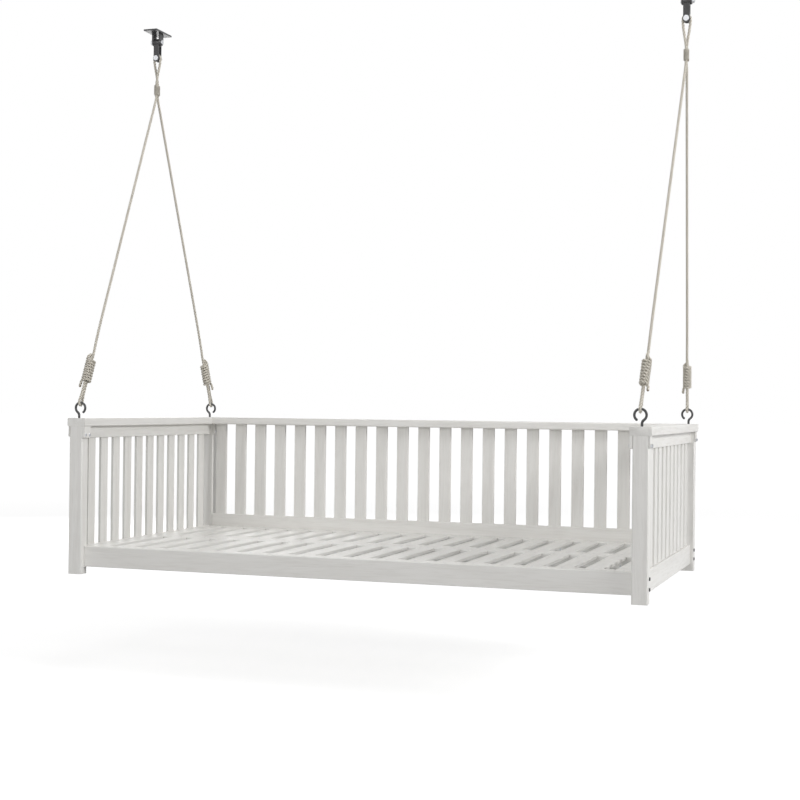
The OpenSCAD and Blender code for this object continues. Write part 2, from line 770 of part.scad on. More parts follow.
// Hook: shank through the cap into the post, a bend at its foot and an open ring.
// The bend and the tip are a little thicker than the rod, as forging leaves them
module hook(end) {
    foot_rise = sqrt(pow(hook_r + hook_foot_r, 2) - pow(hook_offset + hook_foot_r, 2));
    foot_angle = atan2(foot_rise, hook_offset + hook_foot_r);
    ring_overlap = hook_overlap / hook_r * per_radian;
    shank_low = post_h - hook_bore_deep + hook_end_rise;
    shank_high = ring_z - foot_rise;
    in_bed() color(dark_steel) translate([0, end * hook_y, 0]) {
        translate([post_mid_x, 0, shank_low])
            cylinder(h = shank_high - shank_low + hook_overlap, d = hook_d);
        translate([post_mid_x + hook_foot_r, 0, shank_high])
            rotate([quarter_turn, 0, 0]) rotate([0, 0, 2 * quarter_turn - foot_angle])
                rotate_extrude(angle = foot_angle)
                    translate([hook_foot_r, 0]) circle(d = hook_d + hook_swell);
        translate([ring_x, 0, ring_z])
            rotate([quarter_turn, 0, 0]) rotate([0, 0, -foot_angle - ring_overlap])
                rotate_extrude(angle = hook_tip_angle + foot_angle + ring_overlap)
                    translate([hook_r, 0]) circle(d = hook_d);
        translate([ring_x + hook_r * cos(hook_tip_angle), 0, ring_z + hook_r * sin(hook_tip_angle)])
            sphere(d = hook_d + hook_swell);
    }
}

module ceiling_plate() {
    color(dark_steel) translate([pivot_x, 0, 0]) difference() {
        union() {
            translate([-plate_w / 2, -plate_l / 2, -plate_t]) cube([plate_w, plate_l, plate_t]);
            for (x = [-ear_in - ear_t, ear_in]) translate([x, 0, 0]) {
                translate([0, -ear_d / 2, hanger_z]) cube([ear_t, ear_d, pin_drop - plate_t + overrun]);
                translate([0, 0, hanger_z]) rod_x(ear_t, ear_d);
            }
        }
        for (y = [-screw_pitch / 2, screw_pitch / 2]) translate([0, y, -plate_t - overrun])
            cylinder(h = plate_t + 2 * overrun, d = screw_hole_d);
        translate([-ear_in - ear_t - overrun, 0, hanger_z])
            rod_x(2 * (ear_in + ear_t + overrun), pin_d + 2 * pin_seat_fit);
    }
}

hanger_pin_out = ear_in + ear_t;
module hanger_pin() {
    color(bright_steel) translate([pivot_x, 0, hanger_z]) {
        translate([-hanger_pin_out, 0, 0]) rod_x(2 * hanger_pin_out + nut_h + pin_tail, pin_d);
        translate([-hanger_pin_out - pin_head_t, 0, 0]) rod_x(pin_head_t, pin_d + pin_head_over);
    }
}

module hanger_pin_nuts() {
    color(bright_steel) both_sides() translate([pivot_x + hanger_pin_out, 0, hanger_z]) difference() {
        rotate([0, quarter_turn, 0]) cylinder(h = nut_h, d = nut_d, $fn = nut_sides);
        translate([-overrun, 0, 0]) rod_x(nut_h + 2 * overrun, pin_d + 2 * hole_fit);
    }
}

// Link: an eye on the hanger pin, and two cheeks below it that hold the rope pin
module swing_link() {
    bridge_high = hanger_z - link_eye_d / 2 + bridge_t / 2;
    color(dark_steel) translate([pivot_x, 0, 0]) difference() {
        union() {
            translate([-barrel_l / 2, 0, hanger_z]) rod_x(barrel_l, link_eye_d);
            translate([-barrel_l / 2, -cheek_in - cheek_t, bridge_high - bridge_t])
                cube([barrel_l, 2 * (cheek_in + cheek_t), bridge_t]);
            for (y = [-cheek_in - cheek_t, cheek_in]) translate([0, y, 0]) {
                translate([-barrel_l / 2, 0, rope_pin_z])
                    cube([barrel_l, cheek_t, bridge_high - rope_pin_z]);
                translate([0, 0, rope_pin_z]) rod_y(cheek_t, cheek_w);
            }
        }
        translate([-barrel_l, 0, hanger_z]) rod_x(2 * barrel_l, pin_d + 2 * pin_fit);
        translate([0, -2 * cheek_in, rope_pin_z]) rod_y(4 * cheek_in, rope_pin_d + 2 * hole_fit);
    }
}

rope_pin_out = cheek_in + cheek_t;
module rope_pin() {
    color(bright_steel) translate([pivot_x, 0, rope_pin_z]) {
        translate([0, -rope_pin_out, 0]) rod_y(2 * rope_pin_out + nut_h + pin_tail, rope_pin_d);
        translate([0, -rope_pin_out - pin_head_t, 0]) rod_y(pin_head_t, rope_pin_d + pin_head_over);
    }
}

module rope_pin_nuts() {
    color(bright_steel) both_sides() translate([pivot_x, rope_pin_out, rope_pin_z]) difference() {
        rotate([-quarter_turn, 0, 0]) cylinder(h = nut_h, d = nut_d, $fn = nut_sides);
        translate([0, -overrun, 0]) rod_y(nut_h + 2 * overrun, rope_pin_d + 2 * hole_fit);
    }
}

module rope() {
    color(rope_tone) tube(rope_points(), rope_d, rope_sides);
}

module knot(end) {
    color(rope_tone) tube([for (p = knot_points()) on_leg(end, p)], rope_d, wound_sides);
}

module seizing() {
    color(rope_tone) tube([for (p = twine_points()) pin_mid + p], twine_d, wound_sides);
}

on_side(-1) ceiling_plate();  // left_ceiling_plate
on_side(1) ceiling_plate();  // right_ceiling_plate
on_side(-1) hanger_pin();  // left_hanger_pin
on_side(1) hanger_pin();  // right_hanger_pin
hanger_pin_nuts();
on_side(-1) swing_link();  // left_swing_link
on_side(1) swing_link();  // right_swing_link
on_side(-1) rope_pin();  // left_rope_pin
on_side(1) rope_pin();  // right_rope_pin
rope_pin_nuts();
on_side(-1) rope();  // left_rope
on_side(1) rope();  // right_rope
on_side(-1) knot(-1);  // left_front_knot
on_side(-1) knot(1);  // left_rear_knot
on_side(1) knot(-1);  // right_front_knot
on_side(1) knot(1);  // right_rear_knot
on_side(-1) seizing();  // left_seizing
on_side(1) seizing();  // right_seizing
on_side(-1) hook(-1);  // left_front_hook
on_side(-1) hook(1);  // left_rear_hook
on_side(1) hook(-1);  // right_front_hook
on_side(1) hook(1);  // right_rear_hook
on_side(-1) post(-1);  // left_front_post
on_side(-1) post(1);  // left_rear_post
on_side(1) post(-1);  // right_front_post
on_side(1) post(1);  // right_rear_post
on_side(-1) side_cap_rail();  // left_cap_rail
on_side(1) side_cap_rail();  // right_cap_rail
back_cap_rail();
on_side(-1) side_top_rail();  // left_top_rail
on_side(1) side_top_rail();  // right_top_rail
on_side(-1) side_bottom_rail();  // left_bottom_rail
on_side(1) side_bottom_rail();  // right_bottom_rail
front_rail();
back_rail();
centre_rail();
on_side(-1) side_slats();  // left_side_slats
on_side(1) side_slats();  // right_side_slats
back_slats();
deck_row(front_row);  // front_deck_slats
deck_row(rear_row);  // rear_deck_slats
front_ledger();
centre_front_ledger();
centre_rear_ledger();
rear_ledger();
post_head_blocks();
post_head_plates();
post_head_bolts();
post_head_nuts();
frame_bolts();
barrel_nuts();
panel_dowels();
cap_dowels();
deck_screws();
ledger_screws();
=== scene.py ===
import json
import math
import bmesh
import bpy
import numpy as np
from mathutils import Matrix, Vector


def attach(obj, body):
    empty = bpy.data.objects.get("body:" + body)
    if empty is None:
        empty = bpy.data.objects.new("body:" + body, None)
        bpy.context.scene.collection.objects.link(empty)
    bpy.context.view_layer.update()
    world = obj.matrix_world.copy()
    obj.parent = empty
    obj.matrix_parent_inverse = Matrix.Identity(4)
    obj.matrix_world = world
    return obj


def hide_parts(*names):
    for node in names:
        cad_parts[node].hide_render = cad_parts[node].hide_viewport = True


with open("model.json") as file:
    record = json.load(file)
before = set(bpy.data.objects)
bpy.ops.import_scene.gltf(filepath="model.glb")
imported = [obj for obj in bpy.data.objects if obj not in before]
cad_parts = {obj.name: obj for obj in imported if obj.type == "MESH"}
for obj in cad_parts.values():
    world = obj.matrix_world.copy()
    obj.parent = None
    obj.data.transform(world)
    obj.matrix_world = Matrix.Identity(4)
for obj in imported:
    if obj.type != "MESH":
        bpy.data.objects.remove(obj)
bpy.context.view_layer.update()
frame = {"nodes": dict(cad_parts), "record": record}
nodes = frame["nodes"]
print("frame loaded:", len(nodes), "nodes")


# Camera, at the photograph's viewing angle
cameraView = {
    "place": (1.71907, -5.02933, -1.42492),
    "yaw": 0.3349,
    "pitch": 0.0037,
    "roll": 0.0112,
    "focalPixels": 1469.55,
    "middlePixel": (393.45, 400.43),
    "picturePixels": 800,
    "sensor": 36,
}


def makeCamera(s):
    upright = Vector((0, 0, 1))
    level = Vector((-math.sin(s["yaw"]), math.cos(s["yaw"]), 0))
    right = Vector((math.cos(s["yaw"]), math.sin(s["yaw"]), 0))
    ahead = math.cos(s["pitch"]) * level + math.sin(s["pitch"]) * upright
    over = math.cos(s["pitch"]) * upright - math.sin(s["pitch"]) * level
    rolledRight = math.cos(s["roll"]) * right + math.sin(s["roll"]) * over
    rolledOver = math.cos(s["roll"]) * over - math.sin(s["roll"]) * right
    lens = bpy.data.cameras.new("camera")
    lens.sensor_width = s["sensor"]
    lens.lens = s["focalPixels"] / s["picturePixels"] * s["sensor"]
    lens.shift_x = 0.5 - s["middlePixel"][0] / s["picturePixels"]
    lens.shift_y = s["middlePixel"][1] / s["picturePixels"] - 0.5
    camera = bpy.data.objects.new("camera", lens)
    turn = Matrix((rolledRight, rolledOver, -ahead)).transposed().to_4x4()
    camera.matrix_world = Matrix.Translation(s["place"]) @ turn
    bpy.context.scene.collection.objects.link(camera)
    bpy.context.scene.camera = camera


makeCamera(cameraView)
print("camera placed")


# Helpers for node trees
def put(tree, kind, inputs=None, **options):
    node = tree.nodes.new(kind)
    for name, value in options.items():
        setattr(node, name, value)
    for key, value in (inputs or {}).items():
        if isinstance(value, bpy.types.NodeSocket):
            tree.links.new(value, node.inputs[key])
        else:
            node.inputs[key].default_value = value
    return node


def calc(tree, operation, *values):
    return put(tree, "ShaderNodeMath", dict(enumerate(values)), operation=operation).outputs[0]


def ranged(tree, value, low, high, outLow=0.0, outHigh=1.0, curve="LINEAR"):
    return put(
        tree,
        "ShaderNodeMapRange",
        {"Value": value, "From Min": low, "From Max": high, "To Min": outLow, "To Max": outHigh},
        interpolation_type=curve,
    ).outputs["Result"]


def noise(tree, spot, scale, detail, roughness=0.5):
    return put(
        tree, "ShaderNodeTexNoise", {"Vector": spot, "Scale": scale, "Detail": detail, "Roughness": roughness}
    ).outputs


def vectors(tree, operation, first, second):
    return put(tree, "ShaderNodeVectorMath", {0: first, 1: second}, operation=operation).outputs


def scaled(tree, vector, size):
    return put(tree, "ShaderNodeVectorMath", {0: vector, "Scale": size}, operation="SCALE").outputs[0]


def newGroup(name, kind, inputs, outputs):
    tree = bpy.data.node_groups.new(name, kind)
    for label, (socket, value) in inputs.items():
        made = tree.interface.new_socket(label, in_out="INPUT", socket_type=socket)
        if value is not None:
            made.default_value = value
    for label, socket in outputs.items():
        tree.interface.new_socket(label, in_out="OUTPUT", socket_type=socket)
    return tree, tree.nodes.new("NodeGroupInput").outputs, tree.nodes.new("NodeGroupOutput").inputs


def socketKeys(tree):
    return {
        item.name: item.identifier
        for item in tree.interface.items_tree
        if item.item_type == "SOCKET" and item.in_out == "INPUT"
    }


# A piece made by a node tree, turned into a plain mesh
def grow(name, startMesh, tree, values):
    host = bpy.data.objects.new(name + "Host", startMesh)
    bpy.context.scene.collection.objects.link(host)
    modifier = host.modifiers.new("nodes", "NODES")
    modifier.node_group = tree
    keys = socketKeys(tree)
    for label, value in values.items():
        modifier[keys[label]] = value
    bpy.context.view_layer.update()
    graph = bpy.context.evaluated_depsgraph_get()
    mesh = bpy.data.meshes.new_from_object(host.evaluated_get(graph))
    mesh.name = name
    host.modifiers.remove(modifier)
    bpy.data.objects.remove(host)
    piece = bpy.data.objects.new(name, mesh)
    bpy.context.scene.collection.objects.link(piece)
    return piece


# Shared shader groups
grainSize = {
    "wander": 9,
    "wanderReach": 0.05,
    "streakDetail": 3,
    "streakRoughness": 0.6,
    "streakRange": (0.42, 0.7),
    "bandsPerScale": 3,
    "ringDistortion": 7,
    "ringDetail": 2,
    "ringDetailScale": 1.4,
    "lateWood": 2.5,
    "streakShare": 0.55,
}


def makeGrainGroup(g):
    tree, given, out = newGroup(
        "woodGrain",
        "ShaderNodeTree",
        {
            "Vector": ("NodeSocketVector", None),
            "Stretch": ("NodeSocketFloat", 14.0),
            "Streaks per Metre": ("NodeSocketFloat", 160.0),
            "Rings per Metre": ("NodeSocketFloat", 26.0),
        },
        {"Streaks": "NodeSocketFloat", "Height": "NodeSocketFloat"},
    )
    squeezed = put(tree, "ShaderNodeCombineXYZ", {0: calc(tree, "DIVIDE", 1, given["Stretch"]), 1: 1, 2: 1})
    along = vectors(tree, "MULTIPLY", given["Vector"], squeezed.outputs[0])[0]
    wander = noise(tree, along, g["wander"], 1)["Color"]
    bent = vectors(tree, "ADD", along, scaled(tree, wander, g["wanderReach"]))[0]
    fibres = noise(tree, bent, given["Streaks per Metre"], g["streakDetail"], g["streakRoughness"])["Fac"]
    rings = put(
        tree,
        "ShaderNodeTexWave",
        {
            "Vector": bent,
            "Scale": calc(tree, "DIVIDE", given["Rings per Metre"], g["bandsPerScale"]),
            "Distortion": g["ringDistortion"],
            "Detail": g["ringDetail"],
            "Detail Scale": g["ringDetailScale"],
        },
        wave_type="BANDS",
        bands_direction="DIAGONAL",
    ).outputs["Fac"]
    streaks = ranged(tree, fibres, *g["streakRange"], curve="SMOOTHSTEP")
    late = calc(tree, "POWER", rings, g["lateWood"])
    streakHeight = calc(tree, "MULTIPLY", streaks, g["streakShare"])
    ringHeight = calc(tree, "MULTIPLY", late, 1 - g["streakShare"])
    tree.links.new(streaks, out["Streaks"])
    tree.links.new(calc(tree, "ADD", streakHeight, ringHeight), out["Height"])
    return tree


# The rounded and the flat normal agree on a face and part at an edge
edgeSize = {
    "agreement": (0.995, 0.84),
    "samples": 4,
    "patchDetail": 4,
    "patchRange": (0.42, 0.62),
    "leastWear": 0.15,
}


def makeEdgeGroup(e):
    tree, given, out = newGroup(
        "edgeWear",
        "ShaderNodeTree",
        {
            "Radius": ("NodeSocketFloat", 0.002),
            "Patches per Metre": ("NodeSocketFloat", 30.0),
            "Vector": ("NodeSocketVector", None),
        },
        {"Wear": "NodeSocketFloat"},
    )
    rounded = put(tree, "ShaderNodeBevel", {"Radius": given["Radius"]}, samples=e["samples"]).outputs[0]
    flat = put(tree, "ShaderNodeNewGeometry").outputs["Normal"]
    agreement = vectors(tree, "DOT_PRODUCT", rounded, flat)["Value"]
    edge = ranged(tree, agreement, *e["agreement"], curve="SMOOTHSTEP")
    patches = noise(tree, given["Vector"], given["Patches per Metre"], e["patchDetail"])["Fac"]
    broken = ranged(tree, patches, *e["patchRange"], e["leastWear"], 1)
    tree.links.new(calc(tree, "MULTIPLY", edge, broken), out["Wear"])
    return tree


# Greatest shift of the grain's pattern from one slat to the next, in metres
toneReach = 3.0


def makeToneGroup():
    tree, given, out = newGroup(
        "pieceTone",
        "ShaderNodeTree",
        {
            "Place": ("NodeSocketFloat", 0.0),
            "First Edge": ("NodeSocketFloat", 0.0),
            "Pitch": ("NodeSocketFloat", 0.1),
            "Seed": ("NodeSocketFloat", 0.0),
        },
        {"Tone": "NodeSocketFloat", "Offset": "NodeSocketVector"},
    )
    reach = calc(tree, "SUBTRACT", given["Place"], given["First Edge"])
    number = calc(tree, "FLOOR", calc(tree, "DIVIDE", reach, given["Pitch"]))
    draw = calc(tree, "ADD", number, given["Seed"])
    pick = put(tree, "ShaderNodeTexWhiteNoise", {"W": draw}, noise_dimensions="1D").outputs
    tree.links.new(pick["Value"], out["Tone"])
    tree.links.new(scaled(tree, pick["Color"], toneReach), out["Offset"])
    return tree


dustSize = {"cloud": 7, "cloudDetail": 5, "upward": (0.6, 1.0)}


def makeDustGroup(d):
    tree, given, out = newGroup(
        "settledDust",
        "ShaderNodeTree",
        {"Vector": ("NodeSocketVector", None), "Amount": ("NodeSocketFloat", 0.2)},
        {"Dust": "NodeSocketFloat"},
    )
    normal = put(tree, "ShaderNodeNewGeometry").outputs["Normal"]
    facing = put(tree, "ShaderNodeSeparateXYZ", {0: normal}).outputs[2]
    cloud = noise(tree, given["Vector"], d["cloud"], d["cloudDetail"])["Fac"]
    settled = calc(tree, "MULTIPLY", ranged(tree, facing, *d["upward"]), cloud)
    tree.links.new(calc(tree, "MULTIPLY", settled, given["Amount"]), out["Dust"])
    return tree


scuffSize = {"grainDetail": 3, "marks": 120, "markDetail": 6, "markRoughness": 0.7, "markRange": (0.55, 0.72)}


def makeScuffGroup(c):
    tree, given, out = newGroup(
        "steelScuffs",
        "ShaderNodeTree",
        {"Vector": ("NodeSocketVector", None), "Grain per Metre": ("NodeSocketFloat", 900.0)},
        {"Grain": "NodeSocketFloat", "Scuffs": "NodeSocketFloat"},
    )
    fine = noise(tree, given["Vector"], given["Grain per Metre"], c["grainDetail"])["Fac"]
    marks = noise(tree, given["Vector"], c["marks"], c["markDetail"], c["markRoughness"])["Fac"]
    tree.links.new(fine, out["Grain"])
    tree.links.new(ranged(tree, marks, *c["markRange"]), out["Scuffs"])
    return tree


grainGroup = makeGrainGroup(grainSize)
edgeGroup = makeEdgeGroup(edgeSize)
toneGroup = makeToneGroup()
dustGroup = makeDustGroup(dustSize)
scuffGroup = makeScuffGroup(scuffSize)
print("shader groups made")


def emptyMaterial(name):
    material = bpy.data.materials.new(name)
    material.use_nodes = True
    material.node_tree.nodes.clear()
    return material, material.node_tree


def newMaterial(name):
    material, tree = emptyMaterial(name)
    shader = put(tree, "ShaderNodeBsdfPrincipled")
    put(tree, "ShaderNodeOutputMaterial", {0: shader.outputs[0]})
    return material, tree, shader


def place(tree, group, inputs):
    return put(tree, "ShaderNodeGroup", inputs, node_tree=group).outputs


def blendColour(tree, share, first, second):
    first, second = [c if isinstance(c, bpy.types.NodeSocket) else (*c, 1) for c in (first, second)]
    return put(tree, "ShaderNodeMix", {0: share, 6: first, 7: second}, data_type="RGBA").outputs[2]


def bumped(tree, height, look, **options):
    given = {"Height": height, "Distance": look["bumpHeight"], "Strength": look["bumpStrength"]}
    return put(tree, "ShaderNodeBump", given, **options)


# Wood: the grain runs along x, y or z, and each slat of a row has its own tone
woodTurns = {"x": (0, 0, 0), "y": (0, 0, math.pi / 2), "z": (0, math.pi / 2, 0)}
woodLook = {
    "dustAmount": 0.35,
    "brushMarks": 4.5,
    "brushDetail": 4,
    "pieceShare": 0.6,
    "streakGloss": 0.6,
    "dustGloss": 1.5,
    "bumpStrength": 0.7,
    "softSamples": 4,
}
paintLook = {
    **woodLook,
    "colour": (0.80, 0.79, 0.765),
    "grainColour": (0.57, 0.55, 0.51),
    "wornColour": (0.44, 0.38, 0.30),
    "dustColour": (0.60, 0.585, 0.55),
    "grainShare": 0.30,
    "wearShare": 0.45,
    "toneSpread": 0.10,
    "roughness": (0.40, 0.62),
    "bumpHeight": 0.0005,
    "softEdge": 0.0012,
}
bareLook = {
    **woodLook,
    "colour": (0.62, 0.44, 0.25),
    "grainColour": (0.36, 0.21, 0.10),
    "wornColour": (0.50, 0.36, 0.22),
    "dustColour": (0.60, 0.50, 0.38),
    "grainShare": 0.6,
    "wearShare": 0.3,
    "toneSpread": 0.14,
    "roughness": (0.6, 0.8),
    "bumpHeight": 0.0003,
    "softEdge": 0.0008,
}


# One place wide enough for a whole piece: axis, first edge and pitch
wholePiece = ("x", -20.0, 40.0)


def woodMaterial(name, look, grain, row=wholePiece, seed=0.0):
    material, tree, shader = newMaterial(name)
    spot = put(tree, "ShaderNodeTexCoord").outputs["Object"]
    axis, first, pitch = row
    part = put(tree, "ShaderNodeSeparateXYZ", {0: spot}).outputs["xyz".index(axis)]
    tone = place(tree, toneGroup, {"Place": part, "First Edge": first, "Pitch": pitch, "Seed": seed})
    moved = vectors(tree, "ADD", spot, tone["Offset"])[0]
    turned = put(tree, "ShaderNodeMapping", {"Vector": moved, "Rotation": woodTurns[grain]}).outputs[0]
    lines = place(tree, grainGroup, {"Vector": turned})
    wear = place(tree, edgeGroup, {"Vector": spot})["Wear"]
    dust = place(tree, dustGroup, {"Vector": spot, "Amount": look["dustAmount"]})["Dust"]
    brushed = noise(tree, moved, look["brushMarks"], look["brushDetail"])["Fac"]
    grainShare = calc(tree, "MULTIPLY", lines["Height"], look["grainShare"])
    shade = calc(
        tree,
        "ADD",
        calc(tree, "MULTIPLY", tone["Tone"], look["pieceShare"]),
        calc(tree, "MULTIPLY", brushed, 1 - look["pieceShare"]),
    )
    colour = blendColour(tree, grainShare, look["colour"], look["grainColour"])
    colour = blendColour(tree, calc(tree, "MULTIPLY", shade, look["toneSpread"]), colour, look["grainColour"])
    colour = blendColour(tree, dust, colour, look["dustColour"])
    colour = blendColour(tree, calc(tree, "MULTIPLY", wear, look["wearShare"]), colour, look["wornColour"])
    tree.links.new(colour, shader.inputs["Base Color"])
    gloss = calc(
        tree,
        "ADD",
        calc(tree, "MULTIPLY", lines["Streaks"], look["streakGloss"]),
        calc(tree, "MULTIPLY", dust, look["dustGloss"]),
    )
    tree.links.new(ranged(tree, gloss, 0, 1, *look["roughness"]), shader.inputs["Roughness"])
    bump = bumped(tree, lines["Height"], look, invert=True)
    soft = put(tree, "ShaderNodeBevel", {"Radius": look["softEdge"]}, samples=look["softSamples"])
    tree.links.new(soft.outputs[0], bump.inputs["Normal"])
    tree.links.new(bump.outputs[0], shader.inputs["Normal"])
    return material


sideRails = {
    side + rail for side in ("left_", "right_") for rail in ("cap_rail", "top_rail", "bottom_rail")
}

# Axis, first edge and pitch of each row of slats, and the seed of its tones
slatRows = {
    "left_side_slats": ("y", -0.5573, 0.0846, 3.0),
    "right_side_slats": ("y", -0.5573, 0.0846, 71.0),
    "back_slats": ("x", -0.9534, 0.08670, 131.0),
    "front_deck_slats": ("x", -0.9616, 0.09616, 211.0),
    "rear_deck_slats": ("x", -0.9616, 0.09616, 307.0),
}


def grainOf(name):
    if name.endswith(("side_slats", "_post")) or name == "back_slats" or "head" in name:
        return "z"
    if "deck_slats" in name or name in sideRails:
        return "y"
    return "x"


# Steel
darkLook = {
    "colour": (0.035, 0.035, 0.037),
    "scuffColour": (0.10, 0.10, 0.105),
    "rubbedColour": (0.42, 0.42, 0.43),
    "roughness": (0.34, 0.55),
    "edgeRadius": 0.0012,
    "edgePatches": 160,
    "scuffShare": 0.5,
    "rubRadius": 0.011,
    "rubCore": 0.4,
    "rubGrain": (0.35, 0.6),
    "bumpHeight": 0.00006,
    "bumpStrength": 0.6,
}
brightLook = {
    "colour": (0.58, 0.59, 0.61),
    "scuffColour": (0.40, 0.41, 0.43),
    "roughness": (0.28, 0.48),
    "grainPerMetre": 1500,
    "spangles": 420,
    "spangleShare": 0.3,
    "scuffShare": 0.5,
    "bumpHeight": 0.00004,
    "bumpStrength": 0.5,
}


def darkSteelMaterial(name, look, rubbedSpots=()):
    material, tree, shader = newMaterial(name)
    spot = put(tree, "ShaderNodeTexCoord").outputs["Object"]
    marks = place(tree, scuffGroup, {"Vector": spot})
    edge = {"Vector": spot, "Radius": look["edgeRadius"], "Patches per Metre": look["edgePatches"]}
    rubbed = place(tree, edgeGroup, edge)["Wear"]
    scuffed = calc(tree, "MULTIPLY", marks["Scuffs"], look["scuffShare"])
    colour = blendColour(tree, scuffed, look["colour"], look["scuffColour"])
    for point in rubbedSpots:
        far = vectors(tree, "DISTANCE", spot, point)["Value"]
        near = ranged(tree, far, look["rubRadius"], look["rubRadius"] * look["rubCore"])
        bare = calc(tree, "MULTIPLY", near, ranged(tree, marks["Grain"], *look["rubGrain"]))
        rubbed = calc(tree, "MAXIMUM", rubbed, bare)
    tree.links.new(blendColour(tree, rubbed, colour, look["rubbedColour"]), shader.inputs["Base Color"])
    tree.links.new(rubbed, shader.inputs["Metallic"])
    tree.links.new(ranged(tree, marks["Scuffs"], 0, 1, *look["roughness"]), shader.inputs["Roughness"])
    tree.links.new(bumped(tree, marks["Grain"], look).outputs[0], shader.inputs["Normal"])
    return material


def brightSteelMaterial(name, look):
    material, tree, shader = newMaterial(name)
    spot = put(tree, "ShaderNodeTexCoord").outputs["Object"]
    marks = place(tree, scuffGroup, {"Vector": spot, "Grain per Metre": look["grainPerMetre"]})
    spangle = put(tree, "ShaderNodeTexVoronoi", {"Vector": spot, "Scale": look["spangles"]}).outputs["Color"]
    tint = put(tree, "ShaderNodeSeparateXYZ", {0: spangle}).outputs[0]
    share = calc(
        tree,
        "ADD",
        calc(tree, "MULTIPLY", tint, look["spangleShare"]),
        calc(tree, "MULTIPLY", marks["Scuffs"], look["scuffShare"]),
    )
    tree.links.new(blendColour(tree, share, look["colour"], look["scuffColour"]), shader.inputs["Base Color"])
    shader.inputs["Metallic"].default_value = 1.0
    tree.links.new(ranged(tree, share, 0, 1, *look["roughness"]), shader.inputs["Roughness"])
    tree.links.new(bumped(tree, marks["Grain"], look).outputs[0], shader.inputs["Normal"])
    return material


# Rope and twine: the section's lobes are the strands, and it turns once in each lay
ropeSize = {
    "diameter": 0.010,
    "lay": 0.034,
    "strands": 3,
    "strandShare": 0.53,
    "pointsRound": 30,
    "step": 0.0022,
    "pin": (1.0075, 0.0, -0.100),
    "ringTop": (0.966, 0.5045, -1.4255),
    "pivotBack": 0.092,
}
twineSize = {
    "diameter": 0.004,
    "lay": 0.013,
    "strands": 3,
    "strandShare": 0.56,
    "pointsRound": 18,
    "step": 0.0013,
}
ropeLook = {
    "colour": (0.76, 0.715, 0.62),
    "paleColour": (0.86, 0.83, 0.76),
    # colour painted into the grooves between the strands: painted shade, with some soil
    "grooveShadeAndSoilColour": (0.30, 0.25, 0.18),
    "endColour": (0.22, 0.15, 0.09),
    "yarnsRound": 34,
    "twistPerMetre": 480,
    "fuzz": 900,
    "fuzzDetail": 3,
    "fuzzPhase": 3,
    "fuzzHeight": 0.6,
    "patches": 45,
    "patchDetail": 4,
    "patchRange": (0.3, 0.7),
    "leastPale": 0.35,
    "grooveRange": (0.92, 0.62),
    "grooveShadeAndSoilShare": 0.75,
    "endRange": (0.004, 0.0005),
    "roughness": (0.92, 0.74),
    "sheen": 0.15,
    "bumpHeight": 0.0005,
    "bumpStrength": 0.8,
}
knotSize = {
    "low": 0.083,
    "turns": 8,
    "pitch": 0.0106,
    "strandHalf": 0.0053,
    "wrapRadius": 0.0106,
    "startShare": 0.86,
    "workingEnd": 0.172,
    "leadShare": 1.5,
    "tailDrop": 0.014,
    "pointsInTurn": 30,
    "leadPoints": 6,
    "tailPoints": 3,
}
seizingSize = {
    "turns": 8,
    "pitch": 0.0046,
    "legHalf": 0.0052,
    "wrapRadius": 0.0075,
    "low": -0.142,
    "pointsInTurn": 26,
}

# Routes in millimetres: over the pin from the middle of the pin, and from the top of a ring
riseRoute = [
    (-0.6, -12, -168), (-0.3, -8, -159), (0, -5.7, -150), (0, -5.2, -140), (0, -5.2, -120),
    (0, -5.2, -100), (-2.4, -4.9, -80), (-5.6, -4, -60), (-9, -2.4, -40), (-11.8, -0.8, -20), (-12.6, 0, 0),
    (-10.9, 0, 6.3), (-6.3, 0, 10.9), (0, 0, 12.6),
]
dropRoute = [
    (0, 1150), (0, 950), (0, 750), (0, 550), (0, 380), (0.6, 290), (2.8, 230), (5.3, 195),
    (5.3, 170), (5.3, 140), (5.3, 110), (5.3, 80), (5.3, 50), (5.7, 30), (8, 14), (9.6, 0),
    (8.3, -4.8), (4.8, -8.3), (0, -9.6), (-4.8, -8.3), (-8.3, -4.8), (-9.6, 0),
    (-8, 14), (-5.7, 30), (-5.3, 50), (-5.3, 80), (-5.3, 110), (-5.3, 140), (-5.3, 172),
]


def metres(points):
    return [tuple(v / 1000 for v in p) for p in points]


def turned(point):
    return (-point[0], -point[1], point[2])


# Frame of a leg: across lies towards the other leg, and along runs up the leg
def legFrame(end):
    pin = Vector(ropeSize["pin"])
    x, y, z = ropeSize["ringTop"]
    ring = Vector((x, end * y - ropeSize["pivotBack"], z))
    fork = Vector(metres(riseRoute)[0])
    top = pin + (fork if end < 0 else Vector(turned(fork)))
    along = (top - ring).normalized()
    across = Vector((0, -end, 0))
    across = (across - across.dot(along) * along).normalized()
    return ring, across, along, across.cross(along)


def onLeg(end, point):
    ring, across, along, beside = legFrame(end)
    out = point[2] if len(point) > 2 else 0
    return ring + point[0] * across + point[1] * along + out * beside


# Place on a loop of two half circles joined by straights, share of the way round it
def wrapAt(half, radius, share):
    bend = math.pi * radius
    s = (share - math.floor(share)) * (4 * half + 2 * bend)
    low, left = half + bend, 3 * half + bend
    if s < half:
        return s, radius
    if s < low:
        a = math.pi / 2 - (s - half) / radius
        return half + radius * math.cos(a), radius * math.sin(a)
    if s < left:
        return half - (s - low), -radius
    if s < left + bend:
        a = -math.pi / 2 - (s - left) / radius
        return -half + radius * math.cos(a), radius * math.sin(a)
    return -half + s - left - bend, radius


def bendPoints(a, da, b, db, count):
    stops = [i / (count + 1) for i in range(1, count + 1)]
    return [
        (1 - s) ** 3 * a + 3 * (1 - s) ** 2 * s * (a + da) + 3 * (1 - s) * s * s * (b - db) + s ** 3 * b
        for s in stops
    ]


